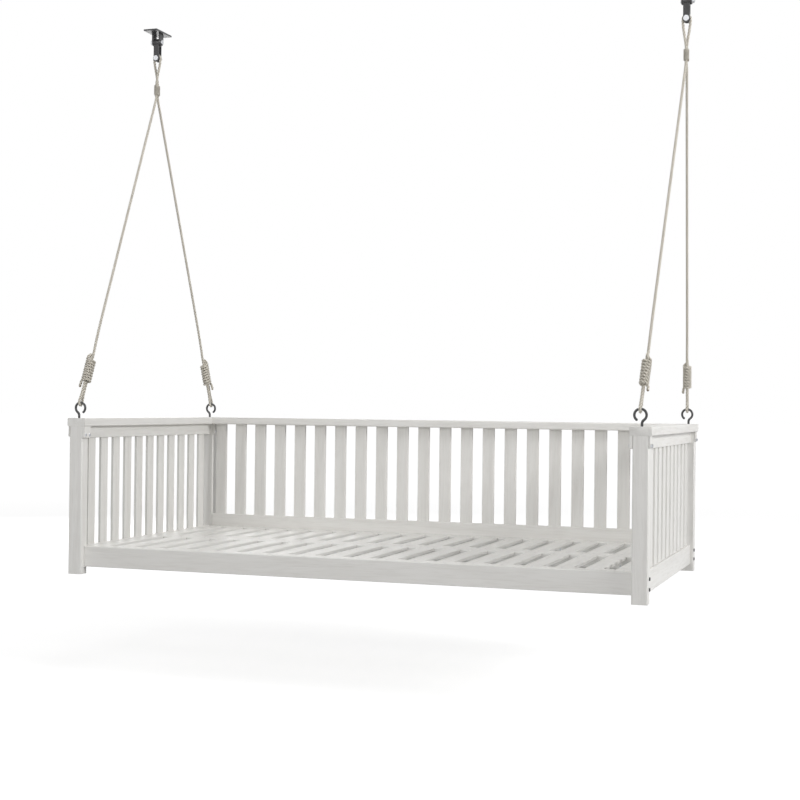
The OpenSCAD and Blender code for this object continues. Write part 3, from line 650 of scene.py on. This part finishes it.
def knotPoints(k):
    high = k["low"] + k["turns"] * k["pitch"]
    turns = []
    for i in range(k["turns"] * k["pointsInTurn"] + 1):
        s = i / k["pointsInTurn"]
        across, out = wrapAt(k["strandHalf"], k["wrapRadius"], k["startShare"] + s)
        turns.append(Vector((across, high - s * k["pitch"], out)))
    d = ropeSize["diameter"]
    top = Vector((-k["strandHalf"], k["workingEnd"] + d, 0))
    lead = (turns[1] - turns[0]).normalized()
    leave = (turns[-1] - turns[-2]).normalized()
    tail = turns[-1] + Vector((leave.x * d, -k["tailDrop"], leave.z * d))
    return [
        top,
        *bendPoints(top, Vector((0, d, 0)), turns[0], lead * d * k["leadShare"], k["leadPoints"]),
        *turns,
        *bendPoints(turns[-1], leave * d / 2, tail, Vector((0, -d / 2, 0)), k["tailPoints"]),
        tail,
        tail - Vector((0, d, 0)),
    ]


# From the front knot's tail, round the front hook, over the pin and back to the rear knot's tail
def ropePoints():
    pin = Vector(ropeSize["pin"])
    rise = metres(riseRoute)
    eye = [pin + Vector(p) for p in rise] + [pin + Vector(turned(p)) for p in rise[-2::-1]]
    leg = {end: [onLeg(end, p) for p in metres(dropRoute)] for end in (-1, 1)}
    knot = {end: [onLeg(end, p) for p in knotPoints(knotSize)] for end in (-1, 1)}
    return [*knot[-1][::-1], *leg[-1][::-1], *eye, *leg[1], *knot[1]]


def seizingPoints(z):
    pin = Vector(ropeSize["pin"])
    points = []
    for i in range(z["turns"] * z["pointsInTurn"] + 1):
        s = i / z["pointsInTurn"]
        along, out = wrapAt(z["legHalf"], z["wrapRadius"], s)
        points.append(pin + Vector((out, along, z["low"] + s * z["pitch"])))
    tuck = twineSize["diameter"]
    first = points[0] - (points[1] - points[0]).normalized() * tuck
    last = points[-1] + (points[-1] - points[-2]).normalized() * tuck
    return [first, *points, last]


# A smooth line through the points, in even steps
def smoothLine(points, step):
    ends = [2 * points[0] - points[1], *points, 2 * points[-1] - points[-2]]
    fine = []
    for a, b, c, d in zip(ends, ends[1:], ends[2:], ends[3:]):
        t1 = (b - a).length ** 0.5
        t2 = t1 + (c - b).length ** 0.5
        t3 = t2 + (d - c).length ** 0.5
        count = max(3, math.ceil((c - b).length / step * 2))
        for k in range(count):
            t = t1 + (t2 - t1) * k / count
            ab = a + (b - a) * (t / t1)
            bc = b + (c - b) * ((t - t1) / (t2 - t1))
            cd = c + (d - c) * ((t - t2) / (t3 - t2))
            abc = ab + (bc - ab) * (t / t2)
            bcd = bc + (cd - bc) * ((t - t1) / (t3 - t1))
            fine.append(abc + (bcd - abc) * ((t - t1) / (t2 - t1)))
    fine.append(points[-1])
    line = np.array([tuple(p) for p in fine])
    run = np.concatenate([[0], np.cumsum(np.linalg.norm(np.diff(line, axis=0), axis=1))])
    stops = np.linspace(0, run[-1], math.ceil(run[-1] / step) + 1)
    return np.stack([np.interp(stops, run, line[:, i]) for i in range(3)], axis=1), run[-1]


# The ends narrow to closedShare of the section within closeReach diameters
ropeEnd = {"closeReach": 0.35, "closedShare": 0.62}


def makeRopeTree(e):
    tree, given, out = newGroup(
        "laidRope",
        "GeometryNodeTree",
        {
            "Geometry": ("NodeSocketGeometry", None),
            "Diameter": ("NodeSocketFloat", 0.01),
            "Lay": ("NodeSocketFloat", 0.034),
            "Strands": ("NodeSocketInt", 3),
            "Strand Share": ("NodeSocketFloat", 0.53),
            "Points Round": ("NodeSocketInt", 30),
            "Rope Material": ("NodeSocketMaterial", None),
        },
        {"Geometry": "NodeSocketGeometry"},
    )

    def stored(geometry, label, value):
        return put(
            tree, "GeometryNodeStoreNamedAttribute", {"Geometry": geometry, "Name": label, "Value": value}
        ).outputs[0]

    unit = {"Resolution": given["Points Round"], "Radius": 1.0}
    circle = put(tree, "GeometryNodeCurvePrimitiveCircle", unit).outputs[0]
    spot = put(tree, "GeometryNodeInputPosition").outputs[0]
    x, y, _ = put(tree, "ShaderNodeSeparateXYZ", {0: spot}).outputs
    angle = calc(tree, "ARCTAN2", y, x)
    half = calc(tree, "DIVIDE", math.pi, given["Strands"])
    bend = calc(tree, "WRAP", angle, half, calc(tree, "MULTIPLY", half, -1))
    middle = calc(tree, "SUBTRACT", 1, given["Strand Share"])
    aside = calc(tree, "MULTIPLY", middle, calc(tree, "SINE", bend))
    strandSquare = calc(tree, "POWER", given["Strand Share"], 2)
    reach = calc(tree, "SQRT", calc(tree, "SUBTRACT", strandSquare, calc(tree, "POWER", aside, 2)))
    radius = calc(tree, "ADD", calc(tree, "MULTIPLY", middle, calc(tree, "COSINE", bend)), reach)
    size = calc(tree, "MULTIPLY", radius, calc(tree, "MULTIPLY", given["Diameter"], 0.5))
    marked = stored(stored(circle, "around", angle), "outward", radius)
    section = put(
        tree, "GeometryNodeSetPosition", {"Geometry": marked, "Position": scaled(tree, spot, size)}
    ).outputs[0]
    run = put(tree, "GeometryNodeSplineParameter").outputs["Length"]
    total = put(tree, "GeometryNodeSplineLength").outputs["Length"]
    turn = calc(tree, "MULTIPLY", calc(tree, "DIVIDE", run, given["Lay"]), 2 * math.pi)
    nearEnd = calc(tree, "MINIMUM", run, calc(tree, "SUBTRACT", total, run))
    path = put(tree, "GeometryNodeMeshToCurve", {"Mesh": given["Geometry"]}).outputs[0]
    for label, value in (("along", run), ("turn", turn), ("nearEnd", nearEnd)):
        path = stored(path, label, value)
    path = put(tree, "GeometryNodeSetCurveTilt", {"Curve": path, "Tilt": turn}).outputs[0]
    endShare = calc(tree, "DIVIDE", nearEnd, calc(tree, "MULTIPLY", given["Diameter"], e["closeReach"]))
    opening = calc(tree, "MULTIPLY", endShare, 1 - e["closedShare"])
    closing = calc(tree, "MINIMUM", calc(tree, "ADD", e["closedShare"], opening), 1.0)
    tube = put(
        tree,
        "GeometryNodeCurveToMesh",
        {"Curve": path, "Profile Curve": section, "Scale": closing, "Fill Caps": True},
    ).outputs[0]
    smooth = put(tree, "GeometryNodeSetShadeSmooth", {"Geometry": tube, "Shade Smooth": True}).outputs[0]
    real = put(tree, "GeometryNodeRealizeInstances", {"Geometry": smooth}).outputs[0]
    done = put(tree, "GeometryNodeSetMaterial", {"Geometry": real, "Material": given["Rope Material"]})
    tree.links.new(done.outputs[0], out["Geometry"])
    return tree


def ropeMaterial(name, look):
    material, tree, shader = newMaterial(name)
    spot = put(tree, "ShaderNodeTexCoord").outputs["Object"]
    around, turn, along, outward, nearEnd = [
        put(tree, "ShaderNodeAttribute", attribute_name=label).outputs["Fac"]
        for label in ("around", "turn", "along", "outward", "nearEnd")
    ]
    fuzz = noise(tree, spot, look["fuzz"], look["fuzzDetail"])["Fac"]
    patches = noise(tree, spot, look["patches"], look["patchDetail"])["Fac"]
    yarnAngle = calc(tree, "MULTIPLY", calc(tree, "ADD", around, turn), look["yarnsRound"])
    slant = calc(tree, "MULTIPLY", along, look["twistPerMetre"])
    phase = calc(tree, "MULTIPLY", fuzz, look["fuzzPhase"])
    wave = calc(tree, "SINE", calc(tree, "ADD", calc(tree, "ADD", yarnAngle, slant), phase))
    yarn = ranged(tree, wave, -1, 1)
    pale = calc(tree, "MULTIPLY", yarn, ranged(tree, patches, *look["patchRange"], look["leastPale"], 1.0))
    # The grooves between the strands are painted darker: painted shade where the strands meet, with some soil
    grooveShadeAndSoil = calc(tree, "MULTIPLY", ranged(tree, outward, *look["grooveRange"]), look["grooveShadeAndSoilShare"])
    burnt = ranged(tree, nearEnd, *look["endRange"])
    colour = blendColour(tree, pale, look["colour"], look["paleColour"])
    colour = blendColour(tree, grooveShadeAndSoil, colour, look["grooveShadeAndSoilColour"])
    colour = blendColour(tree, burnt, colour, look["endColour"])
    tree.links.new(colour, shader.inputs["Base Color"])
    tree.links.new(ranged(tree, yarn, 0, 1, *look["roughness"]), shader.inputs["Roughness"])
    shader.inputs["Sheen Weight"].default_value = look["sheen"]
    height = calc(tree, "ADD", yarn, calc(tree, "MULTIPLY", fuzz, look["fuzzHeight"]))
    tree.links.new(bumped(tree, height, look).outputs[0], shader.inputs["Normal"])
    return material


ropeTree = makeRopeTree(ropeEnd)
ropeFinish = ropeMaterial("ropeFinish", ropeLook)
twineFinish = ropeMaterial("twineFinish", {**ropeLook, "yarnsRound": 16, "twistPerMetre": 900})


def makeCord(name, points, size, finish):
    line, length = smoothLine(points, size["step"])
    start = bpy.data.meshes.new(name + "Line")
    start.from_pydata([tuple(p) for p in line], [(i, i + 1) for i in range(len(line) - 1)], [])
    values = {
        "Diameter": size["diameter"],
        "Lay": size["lay"],
        "Strands": size["strands"],
        "Strand Share": size["strandShare"],
        "Points Round": size["pointsRound"],
        "Rope Material": finish,
    }
    return grow(name, start, ropeTree, values), line, length


def mirrored(points, side):
    return [Vector((side * p[0], p[1], p[2])) for p in points]


for side, sideName in ((-1, "left"), (1, "right")):
    rope, ropeLine, ropeLength = makeCord(
        sideName + "LaidRope", mirrored(ropePoints(), side), ropeSize, ropeFinish
    )
    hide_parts(sideName + "_rope", sideName + "_front_knot", sideName + "_rear_knot")
    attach(rope, sideName + "_ropes")
    twine, twineLine, twineLength = makeCord(
        sideName + "WoundTwine", mirrored(seizingPoints(seizingSize), side), twineSize, twineFinish
    )
    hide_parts(sideName + "_seizing")
    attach(twine, sideName + "_ropes")
    print(sideName, "rope", round(ropeLength, 3), "m, twine", round(twineLength, 3), "m")


# Finishes of the CAD nodes and of the pieces made here. The ropes rub the rings of the hooks bare on top
hookRodRadius = 0.004
ringX, ringY, ringZ = ropeSize["ringTop"]
hookTops = [
    (side * ringX, end * ringY - ropeSize["pivotBack"], ringZ + hookRodRadius)
    for side in (-1, 1)
    for end in (-1, 1)
]
paint = {axis: woodMaterial("paint" + axis.upper(), paintLook, axis, seed=ord(axis)) for axis in "xyz"}
rowPaint = {
    name: woodMaterial("paint_" + name, paintLook, grainOf(name), row[:3], row[3])
    for name, row in slatRows.items()
}
bareWood = woodMaterial("bareWood", bareLook, "y")
darkSteel = darkSteelMaterial("darkSteel", darkLook)
hookSteel = darkSteelMaterial("hookSteel", darkLook, hookTops)
brightSteel = brightSteelMaterial("brightSteel", brightLook)
slotFinish = {
    "bare_wood": bareWood,
    "dark_steel": darkSteel,
    "bright_steel": brightSteel,
    "rope": ropeFinish,
}
slots = {part["node"]: part["material_slot"] for part in frame["record"]["subparts"]}


def finishOf(name):
    if name in rowPaint:
        return rowPaint[name]
    if slots[name] == "painted_wood":
        return paint[grainOf(name)]
    if name.endswith("_hook"):
        return hookSteel
    return slotFinish[slots[name]]


for name, node in nodes.items():
    node.data.materials.clear()
    node.data.materials.append(finishOf(name))
print("finishes on", len(nodes), "nodes")


# Copies of the sawn and pressed pieces, with the edges that the solids leave sharp eased
easedWidths = {
    "left_cap_rail": 0.0016,
    "right_cap_rail": 0.0016,
    "back_cap_rail": 0.0016,
    "left_front_post": 0.0014,
    "left_rear_post": 0.0014,
    "right_front_post": 0.0014,
    "right_rear_post": 0.0014,
    "post_head_blocks": 0.0012,
    "post_head_plates": 0.0010,
    "post_head_nuts": 0.0005,
    "frame_bolts": 0.0006,
    "left_ceiling_plate": 0.0010,
    "right_ceiling_plate": 0.0010,
    "left_swing_link": 0.0010,
    "right_swing_link": 0.0010,
    "left_hanger_pin": 0.0008,
    "right_hanger_pin": 0.0008,
    "left_rope_pin": 0.0008,
    "right_rope_pin": 0.0008,
    "hanger_pin_nuts": 0.0010,
    "rope_pin_nuts": 0.0010,
}
easeSize = {
    "weld": 0.000002,
    "flat": math.radians(0.5),
    "sharp": math.radians(40),
    "segments": 2,
}
bodyOf = {name: body for body, held in frame["record"]["behaviour"]["bodies"].items() for name in held}


def easedCopy(name, width, e):
    mesh = nodes[name].data.copy()
    mesh.name = name + "Eased"
    shape = bmesh.new()
    shape.from_mesh(mesh)
    bmesh.ops.remove_doubles(shape, verts=shape.verts, dist=e["weld"])
    bmesh.ops.dissolve_limit(shape, angle_limit=e["flat"], verts=shape.verts, edges=shape.edges)
    shape.to_mesh(mesh)
    shape.free()
    piece = bpy.data.objects.new(mesh.name, mesh)
    bpy.context.scene.collection.objects.link(piece)
    ease = piece.modifiers.new("ease", "BEVEL")
    ease.width = width
    ease.segments = e["segments"]
    ease.limit_method = "ANGLE"
    ease.angle_limit = e["sharp"]
    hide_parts(name)
    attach(piece, bodyOf[name])


for name, width in easedWidths.items():
    easedCopy(name, width, easeSize)
print("edges eased on", len(easedWidths), "pieces")


# Screws and head bolts: one shape set at each place, turned at random about its own axis.
# inHead is how far up the head the shank's top reaches, and radiusShare how much of its radius is drawn
shankFit = {"inHead": 0.4, "radiusShare": 0.97}


def makeScrewTree(f):
    tree, given, out = newGroup(
        "setScrews",
        "GeometryNodeTree",
        {
            "Geometry": ("NodeSocketGeometry", None),
            "Sides": ("NodeSocketInt", 20),
            "Seat Radius": ("NodeSocketFloat", 0.002),
            "Face Radius": ("NodeSocketFloat", 0.004),
            "Head Height": ("NodeSocketFloat", 0.0026),
            "Head Base": ("NodeSocketFloat", -0.0026),
            "Shank Radius": ("NodeSocketFloat", 0.002),
            "Shank Length": ("NodeSocketFloat", 0.028),
            "Recess Width": ("NodeSocketFloat", 0.0011),
            "Recess Length": ("NodeSocketFloat", 0.0046),
            "Recess Depth": ("NodeSocketFloat", 0.0014),
            "Seed": ("NodeSocketInt", 7),
            "Screw Material": ("NodeSocketMaterial", None),
        },
        {"Geometry": "NodeSocketGeometry"},
    )

    def lifted(mesh, height):
        offset = put(tree, "ShaderNodeCombineXYZ", {2: height}).outputs[0]
        return put(tree, "GeometryNodeTransform", {"Geometry": mesh, "Translation": offset}).outputs[0]

    def cone(low, high, depth):
        return put(
            tree,
            "GeometryNodeMeshCone",
            {"Vertices": given["Sides"], "Radius Bottom": low, "Radius Top": high, "Depth": depth},
        ).outputs[0]

    head = cone(given["Seat Radius"], given["Face Radius"], given["Head Height"])
    shankLow = calc(tree, "MULTIPLY", given["Shank Length"], -1)
    shankInHead = calc(tree, "MULTIPLY", given["Head Height"], f["inHead"])
    shankHigh = calc(tree, "ADD", given["Head Base"], shankInHead)
    shankRadius = calc(tree, "MULTIPLY", given["Shank Radius"], f["radiusShare"])
    shank = cone(shankRadius, shankRadius, calc(tree, "SUBTRACT", shankHigh, shankLow))
    solid = put(tree, "GeometryNodeMeshBoolean", operation="UNION", solver="EXACT")
    tree.links.new(lifted(head, given["Head Base"]), solid.inputs["Mesh 2"])
    tree.links.new(lifted(shank, shankLow), solid.inputs["Mesh 2"])
    faceHigh = calc(tree, "ADD", given["Head Base"], given["Head Height"])
    cutDepth = calc(tree, "MULTIPLY", given["Recess Depth"], 2)
    cut = put(
        tree, "GeometryNodeMeshBoolean", {"Mesh 1": solid.outputs[0]}, operation="DIFFERENCE", solver="EXACT"
    )
    for wide, long in (("Recess Length", "Recess Width"), ("Recess Width", "Recess Length")):
        size = put(tree, "ShaderNodeCombineXYZ", {0: given[wide], 1: given[long], 2: cutDepth}).outputs[0]
        slot = put(tree, "GeometryNodeMeshCube", {"Size": size}).outputs[0]
        tree.links.new(lifted(slot, faceHigh), cut.inputs["Mesh 2"])
    lean = put(
        tree, "GeometryNodeInputNamedAttribute", {"Name": "lean"}, data_type="FLOAT_VECTOR"
    ).outputs[0]
    upright = put(tree, "FunctionNodeAlignRotationToVector", {"Vector": lean}, axis="Z").outputs[0]
    spin = put(
        tree, "FunctionNodeRandomValue", {2: 0, 3: math.pi, "Seed": given["Seed"]}, data_type="FLOAT"
    )
    twist = put(tree, "ShaderNodeCombineXYZ", {2: spin.outputs[1]}).outputs[0]
    about = put(tree, "FunctionNodeEulerToRotation", {0: twist}).outputs[0]
    turn = put(
        tree, "FunctionNodeRotateRotation", {0: upright, 1: about}, rotation_space="LOCAL"
    ).outputs[0]
    points = put(tree, "GeometryNodeMeshToPoints", {"Mesh": given["Geometry"]}).outputs[0]
    row = put(
        tree, "GeometryNodeInstanceOnPoints", {"Points": points, "Instance": cut.outputs[0], "Rotation": turn}
    ).outputs[0]
    real = put(tree, "GeometryNodeRealizeInstances", {"Geometry": row}).outputs[0]
    done = put(tree, "GeometryNodeSetMaterial", {"Geometry": real, "Material": given["Screw Material"]})
    tree.links.new(done.outputs[0], out["Geometry"])
    return tree


# Places in metres in the bed's own frame, and the way each head faces
bedSize = {
    "pivotBack": 0.092,
    "foot": -2.015,
    "railTop": 0.095,
    "slatFirst": -0.9135,
    "slatPitch": 0.0961579,
    "slatCount": 20,
    "ledgerRows": (-0.4635, -0.031, 0.031, 0.4635),
    "headInX": 0.9365,
    "hookY": 0.5045,
    "headBoltSpread": 0.025,
    "headBoltZ": 0.478,
}
deckScrewSize = {"Sides": 20, "Seed": 7}
headBoltSize = {
    "Sides": 28,
    "Seat Radius": 0.006,
    "Face Radius": 0.0048,
    "Head Height": 0.002,
    "Head Base": 0.0,
    "Shank Radius": 0.003,
    "Shank Length": 0.0675,
    "Recess Width": 0.0013,
    "Recess Length": 0.0062,
    "Recess Depth": 0.0012,
    "Seed": 19,
}


def deckScrewPlaces(b):
    spots = [
        (b["slatFirst"] + i * b["slatPitch"], y, b["railTop"])
        for y in b["ledgerRows"]
        for i in range(b["slatCount"])
    ]
    return spots, [(0, 0, 1)] * len(spots)


def headBoltPlaces(b):
    spots, leans = [], []
    for side in (-1, 1):
        for end in (-1, 1):
            for way in (-0.5, 0.5):
                y = end * b["hookY"] + way * b["headBoltSpread"]
                spots.append((side * b["headInX"], y, b["headBoltZ"]))
                leans.append((-side, 0, 0))
    return spots, leans


def makeScrews(name, node, places, size):
    spots, leans = places
    start = bpy.data.meshes.new(name + "Places")
    hung = [(x, y - bedSize["pivotBack"], z + bedSize["foot"]) for x, y, z in spots]
    start.from_pydata(hung, [], [])
    lean = start.attributes.new("lean", "FLOAT_VECTOR", "POINT")
    lean.data.foreach_set("vector", [v for way in leans for v in way])
    piece = grow(name, start, screwTree, {**size, "Screw Material": brightSteel})
    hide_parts(node)
    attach(piece, "bed")
    print(name, len(spots), "set,", len(piece.data.polygons), "faces")


screwTree = makeScrewTree(shankFit)
makeScrews("recessedDeckScrews", "deck_screws", deckScrewPlaces(bedSize), deckScrewSize)
makeScrews("recessedHeadBolts", "post_head_bolts", headBoltPlaces(bedSize), headBoltSize)


# Floor, lamps and background
stageSize = {
    "floor": -2.36,
    "half": 90.0,
    "colour": (0.55, 0.55, 0.55),
    "glowFrom": 2.5,
    "glowTo": 12.0,
    "nearGlow": 0.68,
    "farGlow": 0.88,
}
lampSet = {
    "key": {"place": (6.0, -1.4, 0.9), "size": 2.0, "power": 222},
    "fill": {"place": (-1.6, -6.0, -0.1), "size": 3.4, "power": 108},
    "back": {"place": (-3.6, 5.4, 0.2), "size": 3.4, "power": 95},
    "top": {"place": (0.6, -0.4, 1.9), "size": 2.4, "power": 34},
}
lampAim = Vector((0, -0.05, -1.7))
worldLevel = 0.28


# 1 for light paths that bring a surface to the eye, straight, mirrored or through glass, else 0
def seenRay(tree):
    light = put(tree, "ShaderNodeLightPath").outputs
    indirect = calc(tree, "MAXIMUM", light["Is Glossy Ray"], light["Is Transmission Ray"])
    return calc(tree, "MAXIMUM", light["Is Camera Ray"], indirect)


def makeFloor(s):
    half = s["half"]
    mesh = bpy.data.meshes.new("floor")
    corners = [(-half, -half), (half, -half), (half, half), (-half, half)]
    mesh.from_pydata([(x, y, s["floor"]) for x, y in corners], [], [(0, 1, 2, 3)])
    floor = bpy.data.objects.new("floor", mesh)
    bpy.context.scene.collection.objects.link(floor)
    material, tree = emptyMaterial("paleFloor")
    matt = put(tree, "ShaderNodeBsdfDiffuse", {"Color": (*s["colour"], 1)})
    spot = put(tree, "ShaderNodeTexCoord").outputs["Object"]
    away = put(tree, "ShaderNodeVectorMath", {0: spot}, operation="LENGTH").outputs["Value"]
    level = ranged(tree, away, s["glowFrom"], s["glowTo"], s["nearGlow"], s["farGlow"])
    glow = put(tree, "ShaderNodeEmission", {"Strength": calc(tree, "MULTIPLY", seenRay(tree), level)})
    both = put(tree, "ShaderNodeAddShader", {0: matt.outputs[0], 1: glow.outputs[0]})
    put(tree, "ShaderNodeOutputMaterial", {0: both.outputs[0]})
    mesh.materials.append(material)


def makeLamps(lamps, aim):
    for name, s in lamps.items():
        data = bpy.data.lights.new(name, "AREA")
        data.shape = "DISK"
        data.size = s["size"]
        data.energy = s["power"]
        lamp = bpy.data.objects.new(name, data)
        lamp.location = s["place"]
        lamp.rotation_euler = (aim - Vector(s["place"])).to_track_quat("-Z", "Y").to_euler()
        lamp.visible_camera = False
        bpy.context.scene.collection.objects.link(lamp)


def makeWorld(level):
    world = bpy.data.worlds.new("studio")
    bpy.context.scene.world = world
    world.use_nodes = True
    tree = world.node_tree
    tree.nodes.clear()
    strength = calc(tree, "ADD", level, calc(tree, "MULTIPLY", seenRay(tree), 1 - level))
    sky = put(tree, "ShaderNodeBackground", {"Color": (1, 1, 1, 1), "Strength": strength})
    put(tree, "ShaderNodeOutputWorld", {0: sky.outputs[0]})


makeFloor(stageSize)
makeLamps(lampSet, lampAim)
makeWorld(worldLevel)
bpy.context.scene.view_settings.view_transform = "Standard"
print("stage lit")
